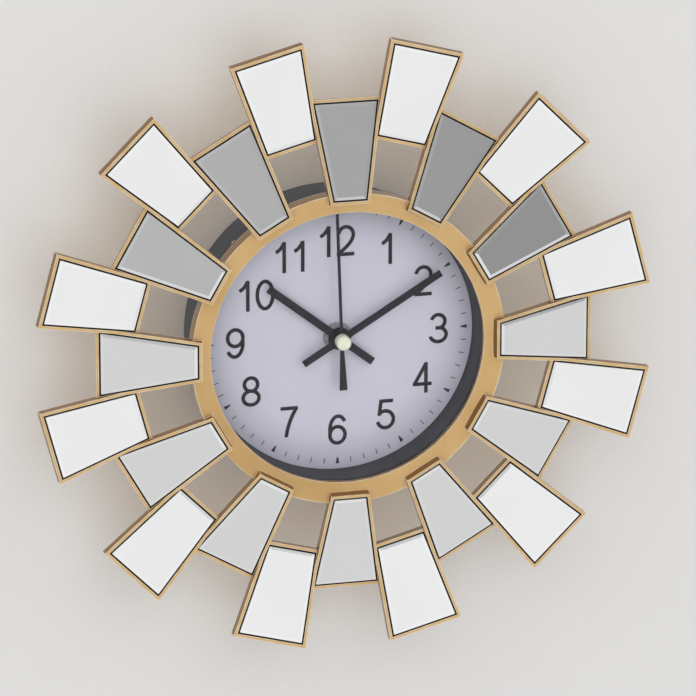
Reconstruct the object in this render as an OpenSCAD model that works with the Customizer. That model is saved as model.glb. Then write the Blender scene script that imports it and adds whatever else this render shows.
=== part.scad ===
// Sunburst mirror clock: two rows of bevelled mirror tiles in gilt trays round a recessed quartz clock.
// Lengths are millimetres. The wall is the plane y = 0, the front faces -Y and +Z is up.
// The origin is the centre of the hanger's keyhole, on the wall plane.

/* [Centre ring and lens] */
// Radius of the opening in the centre ring
ring_opening_r = 55.3; // [50:0.1:62]
// Width of the centre ring
ring_w = 8.1; // [7.6:0.1:11]
// Height of the ring's front at the opening, above its rear face
ring_in_h = 4.3; // [3.4:0.1:5]
// Height of the ring's front at its outside, above its rear face
ring_out_h = 6.3; // [5.5:0.1:7.5]
// Thickness of the clear lens
lens_t = 2; // [1.2:0.1:2.4]
// How far the lens reaches outwards past the opening
lens_lip = 2.7; // [1:0.1:3]

/* [Sunburst frame] */
// How far the inner trays lie over the ring
tray_on_ring = 3.8; // [2.4:0.1:4.6]
// Length of an inner tray, seen from the front
inner_row_len = 40.7; // [35:0.1:46]
// Distance from the inner trays' inner ends to the outer trays' inner ends
row_step = 24.2; // [20:0.1:28]
// Length of an outer tray, seen from the front
outer_row_len = 40.2; // [34:0.1:48]
// Half width of an inner tray at its inner end, to the middle of its rim
inner_end_half_w = 7.39; // [6:0.01:9]
// Half width of an outer tray at its outer end, to the middle of its rim
outer_end_half_w = 14.64; // [13:0.01:17]
// Rim height of an inner tray at its inner end, above the ring's rear face
inner_row_in_h = 8.6; // [7.8:0.1:9.4]
// Rim height of an inner tray at its outer end, above the ring's rear face
inner_row_out_h = 0.4; // [-0.5:0.1:1.5]
// Rim height of an outer tray at its inner end, above the ring's rear face
outer_row_in_h = 1.8; // [1:0.1:3]
// Rim height of an outer tray at its outer end, above the ring's rear face
outer_row_out_h = 4.2; // [3:0.1:5.5]
// Depth of a tray from its rim to its back
tray_depth = 4; // [3.6:0.1:5]
// Depth of the pocket that holds a tile
pocket_depth = 2.2; // [1.6:0.1:2.6]
// Width of one tray's rim
rim_w = 1.2; // [1:0.1:2]
// How much wider the rim is where two trays share it
rim_lap = 0.2; // [0.1:0.05:0.4]

/* [Mirror tiles] */
// Thickness of a mirror tile
mirror_t = 2.4; // [1.8:0.1:3]
// Gap between a tile and the rim round it
mirror_gap = 0.7; // [0.3:0.1:1.5]
// Width of the ground bevel round a tile
bevel_w = 1.2; // [0.5:0.1:2]
// Height of the ground bevel
bevel_h = 0.7; // [0.3:0.1:1.2]

/* [Drum housing and dial] */
// Depth from the drum's front flange to the dial
recess_depth = 13; // [11:0.1:18]
// How far the drum's inner wall stands back from the ring's opening
wall_set_back = 0.2; // [0.1:0.1:0.6]
// Thickness of the drum's wall
housing_wall = 2; // [1.5:0.1:2.4]
// Thickness of the drum's flange
flange_t = 2; // [1.5:0.1:3]
// How far the flange's edge stands in from the ring's outside
flange_set_in = 0.2; // [0:0.1:0.4]
// Thickness of the floor behind the dial
floor_t = 2; // [1.5:0.1:3]
// Thickness of the dial
dial_t = 0.8; // [0.5:0.1:1.2]
// Gap between the dial's edge and the drum's wall
dial_clear = 0.3; // [0.1:0.05:0.6]

/* [Hands] */
// Gap between the hour hand's tip and the dial's edge
hour_tip_gap = 18.7; // [12:0.1:24]
// Length of the hour hand's tail
hour_tail = 17; // [8:0.1:22]
// Width of the hour hand
hour_hand_w = 3.1; // [2:0.1:5]
// Gap between the minute hand's tip and the dial's edge
minute_tip_gap = 7.6; // [4:0.1:12]
// Length of the minute hand's tail
minute_tail = 17.6; // [8:0.1:22]
// Width of the minute hand
minute_hand_w = 2.8; // [2:0.1:5]
// Gap between the second hand's tip and the dial's edge
second_tip_gap = 3.2; // [1:0.1:8]
// Length of the second hand's tail
second_tail = 20.5; // [10:0.1:26]
// Width of the second hand
second_hand_w = 1.2; // [0.8:0.1:2]
// Width of the second hand at the end of its tail
second_tail_w = 3.2; // [1.3:0.1:4]
// Thickness of the hour and minute hands
hand_t = 0.8; // [0.4:0.1:1]
// Thickness of the second hand
second_hand_t = 0.5; // [0.3:0.1:0.8]
// Radius of the hour hand's hub
hour_hub_r = 4.5; // [4:0.1:6]
// Radius of the minute hand's hub
minute_hub_r = 4; // [3:0.1:5]
// Radius of the second hand's hub
second_hub_r = 2.6; // [1.5:0.1:4]
// Radius of the second hand's cap
cap_r = 3; // [2:0.1:5]
// Height of the second hand's cap
cap_h = 4.2; // [2.4:0.1:4.6]
// Chamfer round the cap
cap_chamfer = 0.7; // [0.3:0.1:1]
// Space from one hand to the next
hand_gap = 0.6; // [0.3:0.1:0.8]
// Hour hand's angle at rest, clockwise from 12
hour_angle = 308; // [0:1:359]
// Minute hand's angle at rest, clockwise from 12
minute_angle = 59; // [0:1:359]
// Second hand's angle at rest, clockwise from 12
second_angle = 358; // [0:1:359]

/* [Hanger] */
// Distance from the keyhole's centre to the drum's wall
hanger_edge = 13.5; // [12.5:0.1:15]
// Radius of the keyhole's round hole
keyhole_r = 4.25; // [3.5:0.05:4.6]
// Width of the keyhole's slot
keyslot_w = 4.2; // [3.2:0.1:5]
// Length of the keyhole's slot, from the round hole's centre
keyslot_len = 6.5; // [5.5:0.1:7]
// Thickness of the hanger plate
hanger_t = 1.2; // [1:0.1:2]
// Width of the hanger plate across its ears
hanger_w = 36; // [33:0.5:42]
// Height of the hanger plate's ears
hanger_ear_h = 10; // [9:0.1:11]
// Width of the hanger plate's middle
hanger_tab_w = 17; // [13:0.5:18]
// Metal left round the keyhole
hanger_margin = 1.9; // [1.2:0.1:2]
// Distance from an ear's end to its screw
ear_screw_inset = 4.5; // [3.5:0.1:5]
// Radius of the bosses that carry the hanger
hanger_boss_r = 3.5; // [2.5:0.1:4]

/* [Screws] */
// Number of screws that hold the drum to the frame
frame_screw_count = 4; // [3:1:8]
// Thread radius of every screw
screw_r = 1.2; // [0.9:0.05:1.3]
// Head radius of every screw
screw_head_r = 2.2; // [1.8:0.1:2.4]
// Head height of the drum's screws
screw_head_h = 1.6; // [1:0.1:2]
// How far the drum's screws reach into the ring
frame_screw_grip = 3.6; // [2.5:0.1:4]
// How far the hanger's screws reach into their bosses
hanger_screw_grip = 7; // [4:0.1:10]
// Room past the end of a screw
screw_end_gap = 0.4; // [0.2:0.1:0.6]
// Depth of the cross recess in a screw head
cross_depth = 0.5; // [0.3:0.1:0.7]
// Width of one arm of the cross recess
cross_w = 0.6; // [0.4:0.1:0.8]

/* [Movement case] */
// Radius of the threaded stem
stem_r = 4; // [3.6:0.1:4.6]
// Stem left standing past the nut
stem_over = 0.3; // [0.1:0.1:1]
// Width of the hexagon nut across its flats
nut_flats = 10; // [9.5:0.5:13]
// Thickness of the nut
nut_t = 2; // [1.5:0.1:2.5]
// Radius of the washer
washer_r = 5.8; // [5.5:0.1:9]
// Thickness of the washer
washer_t = 0.5; // [0.3:0.1:0.8]
// Radius of the rubber gasket
gasket_r = 9; // [7:0.1:12]
// Thickness of the rubber gasket
gasket_t = 0.5; // [0.4:0.1:1.2]
// Wall of the movement's front case
case_wall = 1.5; // [1:0.1:2]
// Corner radius of the movement's case
case_corner_r = 3; // [2:0.1:5]
// Thickness of the case's front plate
front_plate_t = 1.5; // [1:0.1:2]
// Thickness of the rear cover
cover_t = 1.5; // [1.2:0.1:2]
// Height of the rear cover's outside above the wall
cover_rear_h = 2.4; // [2.2:0.1:3.5]
// Plastic left under a pivot hole in the rear cover
cover_skin = 0.6; // [0.4:0.1:0.9]
// Wall between the gears and the battery
divider_t = 2; // [1.2:0.1:3]
// Wall below the battery
bay_wall = 1.1; // [0.8:0.1:2]

/* [Battery and circuit] */
// Diameter of the AA battery
battery_d = 14.5; // [13.5:0.1:14.5]
// Length of the battery with its nub
battery_len = 50.5; // [49:0.1:50.5]
// Radius of the battery's nub
nub_r = 2.75; // [2:0.05:3]
// Length of the battery's nub
nub_len = 1.5; // [1:0.1:2]
// Height of the battery above the wall
battery_rear_h = 1.2; // [0.5:0.1:3]
// Room round the battery
battery_clear = 0.25; // [0.1:0.05:0.5]
// Thickness of the front plate over the battery
battery_skin = 0.75; // [0.5:0.05:1.2]
// Thickness of the battery contacts
contact_t = 0.5; // [0.3:0.1:0.7]
// Width of the battery contacts
contact_w = 9; // [6:0.5:11]
// How far the sprung leaf stands off its plate
leaf_bow = 1.5; // [1:0.1:2]
// Width of the contacts' strips to the circuit board
strip_w = 2; // [1.5:0.1:3]
// Length of the strips' feet on the circuit board
strip_foot = 3; // [2:0.1:4]
// Room round the strips where they pass the divider
strip_clear = 0.3; // [0.1:0.1:0.5]
// Width of the circuit board
board_w = 17.5; // [16:0.1:18]
// Height of the circuit board
board_h = 9.5; // [9.5:0.1:11]
// Thickness of the circuit board
board_t = 0.8; // [0.6:0.1:1]
// Gap between the circuit board and the case's left wall
board_gap = 2.5; // [1:0.1:3]
// Gap between the circuit board and the case's top wall
board_top_gap = 1.5; // [1:0.1:2.5]
// Distance from the board's ends to the posts that clamp it
board_post_inset = 3; // [2:0.1:3.5]
// Radius of the chip's blob on the board
chip_r = 2.5; // [1.5:0.1:2.8]
// Height of the chip's blob on the board
chip_h = 0.8; // [0.5:0.1:1.2]
// Radius of the quartz crystal's can
crystal_r = 1; // [0.7:0.1:1.1]
// Length of the quartz crystal's can
crystal_len = 6; // [5:0.1:7]

/* [Gear train] */
// Tooth size of the going train
train_module = 0.3; // [0.28:0.005:0.32]
// Tooth size of the motion work
motion_module = 0.4; // [0.37:0.01:0.42]
// Thickness of every wheel
wheel_t = 1; // [0.7:0.1:1.1]
// How far a pinion stands past the wheel that it drives
pinion_over = 0.2; // [0.1:0.05:0.3]
// Height of the cannon pinion
cannon_t = 1.6; // [1.5:0.1:2]
// Radius of the wheels' arbors
arbor_r = 0.5; // [0.4:0.05:0.6]
// Outer radius of the minute arbor
minute_arbor_r = 1.6; // [1.4:0.05:1.7]
// Outer radius of the hour pipe
hour_pipe_r = 2.5; // [2.3:0.05:2.8]
// Radius of the stud that carries the minute-work wheel
work_stud_r = 0.8; // [0.6:0.05:0.9]
// Radius of the pivot bosses
pivot_boss_r = 1.3; // [1.1:0.05:1.4]
// Length of an arbor inside its front boss
pivot_len = 2; // [1.5:0.1:2.2]
// Radius of the posts that clamp the board and the coil
post_r = 1.6; // [1.2:0.1:1.7]
// Space along an axis between pieces that turn
axial_gap = 0.3; // [0.2:0.05:0.35]
// Radius of the setting knob
knob_r = 4.5; // [3:0.1:5.5]
// Thickness of the setting knob
knob_t = 1.4; // [1:0.1:1.6]
// Radius of the setting knob's shaft
knob_shaft_r = 1.2; // [1:0.05:1.4]
// Number of grip notches round the setting knob
knob_notches = 18; // [8:1:24]

/* [Motor] */
// Radius of the rotor's magnet
magnet_r = 2.8; // [2:0.1:2.9]
// Height of the rotor's magnet
magnet_h = 2; // [1.5:0.1:2.2]
// Air gap between the magnet and the stator
air_gap = 0.5; // [0.3:0.05:0.7]
// Width of the stator's ring round the rotor
stator_ring_w = 1.9; // [1.4:0.1:2]
// Width of the stator's legs
stator_leg_w = 3.5; // [2.8:0.1:4]
// Thickness of the stator and of the coil's core
iron_t = 0.8; // [0.6:0.1:1]
// Height of the stator above the rear cover
stator_lift = 1; // [0.8:0.1:1.3]
// Left side of the stator, from the dial's axis
stator_left = 1.5; // [1:0.1:2.5]
// Gap between the stator and the case's right wall
stator_right_gap = 1.5; // [1.2:0.1:2]
// Width of the coil's core
core_w = 4; // [3.4:0.1:4.4]
// Wall of the coil's bobbin
bobbin_wall = 0.6; // [0.4:0.05:0.6]
// Width of the bobbin's flanges past its tube
bobbin_flange = 1; // [0.7:0.05:1]
// Thickness of the bobbin's flanges
bobbin_flange_t = 0.8; // [0.5:0.1:1.2]
// How far the winding lies below the flanges' edges
winding_inset = 0.15; // [0.1:0.05:0.3]

/* [Fits] */
// Radial clearance of a piece that turns
running_fit = 0.05; // [0.02:0.01:0.08]
// Radial clearance of a piece that is pushed on
push_fit = 0.02; // [0.01:0.01:0.04]
// Radial clearance of a screw, nut or washer
screw_fit = 0.1; // [0.05:0.01:0.15]
// Room round a screw's shank in the piece that it clamps
shank_clear = 0.3; // [0.2:0.05:0.4]
// Clearance round the lens
lens_clear = 0.2; // [0.1:0.05:0.3]

/* [Hidden] */
$fn = 96;
// Reach of a cut past the face that it opens
cut = 1;
// Each row has a tile for every hour
row_count = 12;
row_pitch = 360 / row_count;

// Teeth of the going train and of the motion work
rotor_leaves = 8;
inter_teeth = 40;
inter_leaves = 8;
second_teeth = 48;
second_leaves = 8;
third_teeth = 60;
third_leaves = 8;
center_teeth = 64;
cannon_leaves = 12;
work_teeth = 36;
work_leaves = 10;
hour_teeth = 40;
knob_leaves = 12;
// Tooth form: heights in modules, widths as shares of the pitch
tooth_addendum = 0.75;
tooth_dedendum = 1;
tooth_root = 0.48;
tooth_tip = 0.22;
// Pairs on one centre distance share it by their tooth sizes
center_module = train_module * (second_leaves + third_teeth) / (third_leaves + center_teeth);
hour_module = motion_module * (cannon_leaves + work_teeth) / (work_leaves + hour_teeth);

// Directions of the arbors, counter-clockwise from 3 o'clock, seen from the front
third_dir = 146;
inter_dir = 0;
rotor_dir = 50;
work_dir = 90;
knob_dir = 110;
function along(dir, len) = len * [cos(dir), sin(dir)];
third_at = along(third_dir, train_module * (second_leaves + third_teeth) / 2);
inter_at = along(inter_dir, train_module * (inter_leaves + second_teeth) / 2);
rotor_at = inter_at + along(rotor_dir, train_module * (rotor_leaves + inter_teeth) / 2);
work_at = along(work_dir, motion_module * (cannon_leaves + work_teeth) / 2);
knob_at = work_at + along(knob_dir, motion_module * (knob_leaves + work_teeth) / 2);
function tip_r(teeth, modul) = modul * (teeth / 2 + tooth_addendum);

// Heights above the wall through the movement, from the rear cover forwards
cover_front_h = cover_rear_h + cover_t;
pivot_floor_h = cover_rear_h + cover_skin;
arbor_rear_h = pivot_floor_h + axial_gap / 2;
stator_h = cover_front_h + stator_lift;
core_h = stator_h + iron_t;
core_front_h = core_h + iron_t;
second_wheel_h = core_h + axial_gap;
third_wheel_h = second_wheel_h + wheel_t + axial_gap + pinion_over;
second_pinion_front_h = third_wheel_h + wheel_t + pinion_over;
minute_arbor_h = second_pinion_front_h + axial_gap;
center_wheel_h = minute_arbor_h + pinion_over;
third_pinion_front_h = center_wheel_h + wheel_t + pinion_over;
cannon_h = center_wheel_h + wheel_t;
work_wheel_h = cannon_h + axial_gap;
hour_wheel_h = cannon_h + cannon_t + axial_gap;
work_pinion_front_h = hour_wheel_h + wheel_t + pinion_over;
battery_r = battery_d / 2;
case_front_h = max(
    work_pinion_front_h + 2 * axial_gap + front_plate_t,
    battery_rear_h + battery_d + battery_clear + battery_skin
);
plate_inner_h = case_front_h - front_plate_t;
boss_root_h = plate_inner_h + front_plate_t / 2;
battery_h = case_front_h - battery_skin - battery_clear - battery_r;

// Heights above the wall through the dial and the hands
floor_h = case_front_h + gasket_t;
dial_h = floor_h + floor_t;
dial_front_h = dial_h + dial_t;
nut_h = dial_front_h + washer_t;
stem_top_h = nut_h + nut_t + stem_over;
hour_hand_h = stem_top_h + hand_gap;
hour_pipe_top_h = hour_hand_h + hand_t + axial_gap;
minute_hand_h = hour_pipe_top_h + hand_gap;
minute_arbor_top_h = minute_hand_h + hand_t + axial_gap;
second_hand_h = minute_arbor_top_h + hand_gap;
cap_base_h = second_hand_h + second_hand_t;
second_arbor_top_h = cap_base_h + cap_h / 2;

// The ring's rear face is the drum's front face
seat_h = dial_front_h + recess_depth;

// Radii of the drum, ring and lens
ring_outer_r = ring_opening_r + ring_w;
lens_r = ring_opening_r + lens_lip;
lens_seat_r = lens_r + lens_clear;
housing_inner_r = ring_opening_r + wall_set_back;
housing_outer_r = housing_inner_r + housing_wall;
flange_r = ring_outer_r - flange_set_in;
frame_screw_r = (max(lens_seat_r, housing_outer_r) + flange_r) / 2;
dial_r = housing_inner_r - dial_clear;

// Plan of the movement case, round its contents
center_tip_r = tip_r(center_teeth, center_module);
divider_top = -center_tip_r - 2 * axial_gap;
bay_top = divider_top - divider_t;
battery_y = bay_top - battery_r - battery_clear;
bay_bottom = battery_y - battery_r - battery_clear;
case_bottom = bay_bottom - bay_wall;
inner_half_w = (battery_len + 2 * contact_t + leaf_bow) / 2;
case_half_w = inner_half_w + case_wall;
board_bottom = third_at[1] + tip_r(third_teeth, train_module) + 2 * axial_gap;
board_top = board_bottom + board_h;
coil_y = board_bottom + board_h / 2;
inner_top = board_top + board_top_gap;
case_top = inner_top + case_wall;
board_left = -inner_half_w + board_gap;
board_right = board_left + board_w;
board_posts = [
    [board_left + board_post_inset, coil_y],
    [board_right - board_post_inset, coil_y]
];
board_front_h = stator_h + board_t;
strip_h = board_front_h + contact_t;
strip_slot_w = contact_t + strip_clear;
stator_right = inner_half_w - stator_right_gap;
coil_posts = [
    [stator_left + stator_leg_w / 2, coil_y],
    [stator_right - stator_leg_w / 2, coil_y]
];
battery_left = -inner_half_w + contact_t + leaf_bow;
battery_right = inner_half_w - contact_t;

// Radii of the concentric arbors
minute_bore_r = arbor_r + running_fit;
hour_bore_r = minute_arbor_r + running_fit;
stem_bore_r = hour_pipe_r + 2 * running_fit;
stem_hole_r = stem_r + screw_fit;
stator_hole_r = magnet_r + air_gap;

// The hanger hangs above the movement, inside the drum
hang_drop = housing_inner_r - hanger_edge;
hanger_screw_x = hanger_w / 2 - ear_screw_inset;

// A row of trays: seam half widths at both ends, sloped length, radius, height and slope of the inner end
inner_row_in_r = ring_outer_r - tray_on_ring;
outer_row_in_r = inner_row_in_r + row_step;
outer_row_out_r = outer_row_in_r + outer_row_len;
// The seam between neighbours is one straight line, given here by its two ends
half_pitch = row_pitch / 2;
seam_far_r = outer_row_out_r * cos(half_pitch) + outer_end_half_w * sin(half_pitch);
seam_far_w = outer_row_out_r * sin(half_pitch) - outer_end_half_w * cos(half_pitch);
inner_slope = (seam_far_w - inner_end_half_w) / (seam_far_r - inner_row_in_r);
seam_near_r = inner_row_in_r * cos(half_pitch) + inner_end_half_w * sin(half_pitch);
seam_near_w = inner_row_in_r * sin(half_pitch) - inner_end_half_w * cos(half_pitch);
outer_slope = (outer_end_half_w - seam_near_w) / (outer_row_out_r - seam_near_r);
function row(w, slope, r, len, h_in, h_out) = [
    w, w + slope * len, norm([len, h_out - h_in]), r, seat_h + h_in, atan2(h_out - h_in, len)
];
inner_row = row(
    inner_end_half_w, inner_slope, inner_row_in_r, inner_row_len, inner_row_in_h, inner_row_out_h
);
outer_row = row(
    outer_end_half_w - outer_slope * outer_row_len, outer_slope,
    outer_row_in_r, outer_row_len, outer_row_in_h, outer_row_out_h
);
// From the seam to the outside of a tray, and to its pocket
rim_out = (rim_w - rim_lap) / 2;
rim_in = (rim_w + rim_lap) / 2;

function tile_name(kind, i) = str(kind, "_mirror_", i < 9 ? "0" : "", i + 1);
inner_names = [for (i = [0:row_count - 1]) tile_name("inner", i)];
outer_names = [for (i = [0:row_count - 1]) tile_name("outer", i)];

// The dial's frame: x to the right, y up and z forwards from the wall, on the dial's axis
module at_dial() {
    translate([0, 0, -hang_drop]) rotate([90, 0, 0]) children();
}

module disc(r, h0, h1) {
    translate([0, 0, h0]) cylinder(r = r, h = h1 - h0);
}

module washer_shape(r, bore, h0, h1) {
    difference() {
        disc(r, h0, h1);
        disc(bore, h0 - cut, h1 + cut);
    }
}

module slab(h0, h1) {
    translate([0, 0, h0]) linear_extrude(h1 - h0) children();
}

module block(low, high) {
    translate(low) cube(high - low);
}

module turned(profile) {
    rotate_extrude() polygon(profile);
}

module rounded(x0, y0, x1, y1, r) {
    translate([x0 + r, y0]) square([x1 - x0 - 2 * r, y1 - y0]);
    translate([x0, y0 + r]) square([x1 - x0, y1 - y0 - 2 * r]);
    for (x = [x0 + r, x1 - r]) for (y = [y0 + r, y1 - r]) translate([x, y]) circle(r);
}

// Trays and tiles

function half_w(row, u) = row[0] + (row[1] - row[0]) * u / row[2];

function trapezoid(row, inset, end) = [
    [inset - half_w(row, end), end],
    [half_w(row, end) - inset, end],
    [half_w(row, row[2] - end) - inset, row[2] - end],
    [inset - half_w(row, row[2] - end), row[2] - end]
];

module at_tile(row, angle) {
    rotate(-angle) translate([0, row[3], row[4]]) rotate([row[5], 0, 0]) children();
}

module tray_blank(row) {
    slab(-tray_depth, 0) polygon(trapezoid(row, -rim_out, 0));
}

module tray_pocket(row) {
    slab(-pocket_depth, tray_depth) polygon(trapezoid(row, rim_in, rim_w));
}

module each_tray() {
    for (i = [0:row_count - 1]) {
        at_tile(inner_row, i * row_pitch) children(0);
        at_tile(outer_row, (i + 0.5) * row_pitch) children(1);
    }
}

module at_frame_screws() {
    for (i = [0:frame_screw_count - 1]) rotate((i + 0.5) * 360 / frame_screw_count) {
        translate([frame_screw_r, 0, 0]) children();
    }
}

module sunburst_frame() {
    color("#d0a873") difference() {
        union() {
            turned([
                [lens_seat_r, seat_h],
                [ring_outer_r, seat_h],
                [ring_outer_r, seat_h + ring_out_h],
                [ring_opening_r, seat_h + ring_in_h],
                [ring_opening_r, seat_h + lens_t + lens_clear],
                [lens_seat_r, seat_h + lens_t + lens_clear]
            ]);
            each_tray() {
                tray_blank(inner_row);
                tray_blank(outer_row);
            }
        }
        each_tray() {
            tray_pocket(inner_row);
            tray_pocket(outer_row);
        }
        at_frame_screws() disc(screw_r + screw_fit, seat_h - cut, seat_h + frame_screw_grip + screw_end_gap);
    }
}

// A tile is a low block with its four upper edges ground to a bevel
module mirror_tile(row) {
    base = trapezoid(row, rim_in + mirror_gap, rim_w + mirror_gap);
    face = trapezoid(row, rim_in + mirror_gap + bevel_w, rim_w + mirror_gap + bevel_w);
    back_z = -pocket_depth;
    front_z = back_z + mirror_t;
    points = concat(
        [for (p = base) [p[0], p[1], back_z]],
        [for (p = base) [p[0], p[1], front_z - bevel_h]],
        [for (p = face) [p[0], p[1], front_z]]
    );
    sides = [
        for (ring = [0, 4]) for (k = [0:3])
            [ring + k, ring + k + 4, ring + (k + 1) % 4 + 4, ring + (k + 1) % 4]
    ];
    color("#dfe0e0") polyhedron(points, concat([[0, 1, 2, 3], [11, 10, 9, 8]], sides));
}

module inner_mirror(i) {
    at_tile(inner_row, i * row_pitch) mirror_tile(inner_row);
}

module outer_mirror(i) {
    at_tile(outer_row, (i + 0.5) * row_pitch) mirror_tile(outer_row);
}

// Drum, lens and dial

module dial_housing() {
    color("#3c3c40") difference() {
        union() {
            turned([
                [stem_hole_r, floor_h],
                [housing_inner_r, floor_h],
                [housing_inner_r, 0],
                [housing_outer_r, 0],
                [housing_outer_r, seat_h - flange_t],
                [flange_r, seat_h - flange_t],
                [flange_r, seat_h],
                [housing_inner_r, seat_h],
                [housing_inner_r, dial_h],
                [stem_hole_r, dial_h]
            ]);
            at_hanger_screws() disc(hanger_boss_r, hanger_t, dial_h);
        }
        at_frame_screws() disc(screw_r + shank_clear, seat_h - flange_t - cut, seat_h + cut);
        at_hanger_screws() disc(screw_r + screw_fit, 0, hanger_t + hanger_screw_grip + screw_end_gap);
    }
}

module lens() {
    color("#dfe8ee", 0.35) disc(lens_r, seat_h, seat_h + lens_t);
}

module dial() {
    color("#c0becb") washer_shape(dial_r, stem_hole_r, dial_h, dial_front_h);
}

// Screws and hanger

module cross_recess(h0, h1) {
    for (turn = [0, 90]) rotate(turn) {
        slab(h0, h1) square([2 * screw_r, cross_w], center = true);
    }
}

module frame_screws() {
    rear_h = seat_h - flange_t;
    color("#b9b9b4") at_frame_screws() difference() {
        union() {
            disc(screw_head_r, rear_h - screw_head_h, rear_h);
            disc(screw_r, rear_h - cut, seat_h + frame_screw_grip);
        }
        cross_recess(rear_h - screw_head_h - cut, rear_h - screw_head_h + cross_depth);
    }
}

module at_hanger_screws() {
    for (x = [-hanger_screw_x, hanger_screw_x]) translate([x, hang_drop, 0]) children();
}

// Countersunk cone, flush with the wall plane, that grows by the given clearance
module countersink(clear) {
    turned([
        [0, 0],
        [screw_head_r + clear, 0],
        [screw_r + clear, screw_head_r - screw_r],
        [0, screw_head_r - screw_r]
    ]);
}

module hanger_plate() {
    slot_end = hang_drop + keyslot_len;
    low = hang_drop - hanger_ear_h / 2;
    top = slot_end + keyslot_w / 2 + hanger_margin;
    color("#9fa2a5") difference() {
        slab(0, hanger_t) union() {
            translate([-hanger_w / 2, low]) square([hanger_w, hanger_ear_h]);
            translate([-hanger_tab_w / 2, low]) square([hanger_tab_w, top - low]);
        }
        translate([0, hang_drop, 0]) disc(keyhole_r, -cut, hanger_t + cut);
        translate([0, slot_end, 0]) disc(keyslot_w / 2, -cut, hanger_t + cut);
        slab(-cut, hanger_t + cut) translate([-keyslot_w / 2, hang_drop]) square([keyslot_w, keyslot_len]);
        at_hanger_screws() {
            countersink(screw_fit);
            disc(screw_r + screw_fit, -cut, hanger_t + cut);
        }
    }
}

module hanger_screws() {
    color("#b9b9b4") at_hanger_screws() difference() {
        union() {
            countersink(0);
            disc(screw_r, 0, hanger_t + hanger_screw_grip);
        }
        cross_recess(-cut, cross_depth);
    }
}

// Movement case and its fastening

module case_outline() {
    rounded(-case_half_w, case_bottom, case_half_w, case_top, case_corner_r);
}

// The cover leaves the battery bay open
module cover_outline() {
    difference() {
        case_outline();
        translate([-case_half_w - cut, case_bottom - cut]) {
            square([2 * case_half_w + 2 * cut, bay_top - case_bottom + cut]);
        }
    }
}

module at(place) {
    translate([place[0], place[1], 0]) children();
}

// Depth of the bosses that carry the front pivots of the rotor, the third wheel and the knob
rotor_boss_h = second_pinion_front_h + axial_gap;
third_boss_h = third_pinion_front_h + axial_gap;
knob_boss_h = work_wheel_h + wheel_t + pinion_over + axial_gap;
work_boss_h = work_pinion_front_h + axial_gap;
knob_top_h = min(knob_boss_h + pivot_len, plate_inner_h);

module front_shell() {
    difference() {
        slab(cover_front_h, case_front_h) case_outline();
        block([-inner_half_w, divider_top, cover_front_h - cut], [inner_half_w, inner_top, plate_inner_h]);
        block([-inner_half_w, bay_bottom, cover_front_h - cut], [inner_half_w, bay_top, battery_h]);
        translate([-inner_half_w, battery_y, battery_h]) rotate([0, 90, 0]) {
            cylinder(r = battery_r + battery_clear, h = 2 * inner_half_w);
        }
        // Slots that let the contacts' strips past the divider
        for (x = [-inner_half_w, inner_half_w - strip_slot_w]) {
            block(
                [x, bay_top - cut, cover_front_h - cut],
                [x + strip_slot_w, divider_top + cut, strip_h + strip_w + strip_clear]
            );
        }
    }
}

module movement_front_case() {
    color("#2b2b2d") difference() {
        union() {
            front_shell();
            disc(stem_r, hour_wheel_h + wheel_t + axial_gap, stem_top_h);
            at(third_at) disc(pivot_boss_r, third_boss_h, boss_root_h);
            at(rotor_at) disc(pivot_boss_r, rotor_boss_h, boss_root_h);
            at(knob_at) disc(knob_shaft_r + pivot_boss_r, knob_boss_h, boss_root_h);
            at(work_at) {
                disc(2 * work_stud_r, work_boss_h, boss_root_h);
                disc(work_stud_r, work_wheel_h, boss_root_h);
            }
            for (p = board_posts) at(p) disc(post_r, board_front_h, boss_root_h);
            for (p = coil_posts) at(p) disc(post_r, core_front_h, boss_root_h);
        }
        disc(stem_bore_r, cover_front_h, stem_top_h + cut);
        at(third_at) disc(arbor_r + running_fit, third_boss_h - cut, third_boss_h + pivot_len + axial_gap);
        at(rotor_at) disc(arbor_r + running_fit, rotor_boss_h - cut, rotor_boss_h + pivot_len + axial_gap);
        at(knob_at) disc(knob_shaft_r + running_fit, knob_boss_h - cut, knob_top_h + axial_gap);
    }
}

module movement_rear_cover() {
    color("#232325") difference() {
        union() {
            slab(cover_rear_h, cover_front_h) cover_outline();
            disc(pivot_boss_r, cover_front_h, second_wheel_h - axial_gap);
            at(third_at) disc(pivot_boss_r, cover_front_h, third_wheel_h - axial_gap);
            at(inter_at) {
                disc(pivot_boss_r, cover_front_h, second_wheel_h - pinion_over - axial_gap);
                disc(arbor_r, cover_front_h, third_wheel_h + wheel_t);
            }
            for (p = concat(board_posts, coil_posts)) at(p) disc(post_r, cover_front_h, stator_h);
        }
        for (p = [[0, 0], third_at, rotor_at]) {
            at(p) disc(arbor_r + running_fit, pivot_floor_h, third_wheel_h);
        }
        at(knob_at) disc(knob_shaft_r + running_fit, cover_rear_h - cut, cover_front_h + cut);
    }
}

module movement_nut() {
    color("#a3a2a4") difference() {
        translate([0, 0, nut_h]) cylinder(d = nut_flats / cos(30), h = nut_t, $fn = 6);
        disc(stem_r + screw_fit / 2, nut_h - cut, nut_h + nut_t + cut);
    }
}

module nut_washer() {
    color("#a3a2a4") washer_shape(washer_r, stem_hole_r, dial_front_h, nut_h);
}

module dial_gasket() {
    color("#1c1c1c") washer_shape(gasket_r, stem_hole_r, case_front_h, floor_h);
}

// Battery, contacts and circuit

module battery() {
    color("#4d5a66") translate([battery_left, battery_y, battery_h]) rotate([0, 90, 0]) {
        cylinder(r = battery_r, h = battery_len - nub_len);
        cylinder(r = nub_r, h = battery_len);
    }
}

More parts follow.
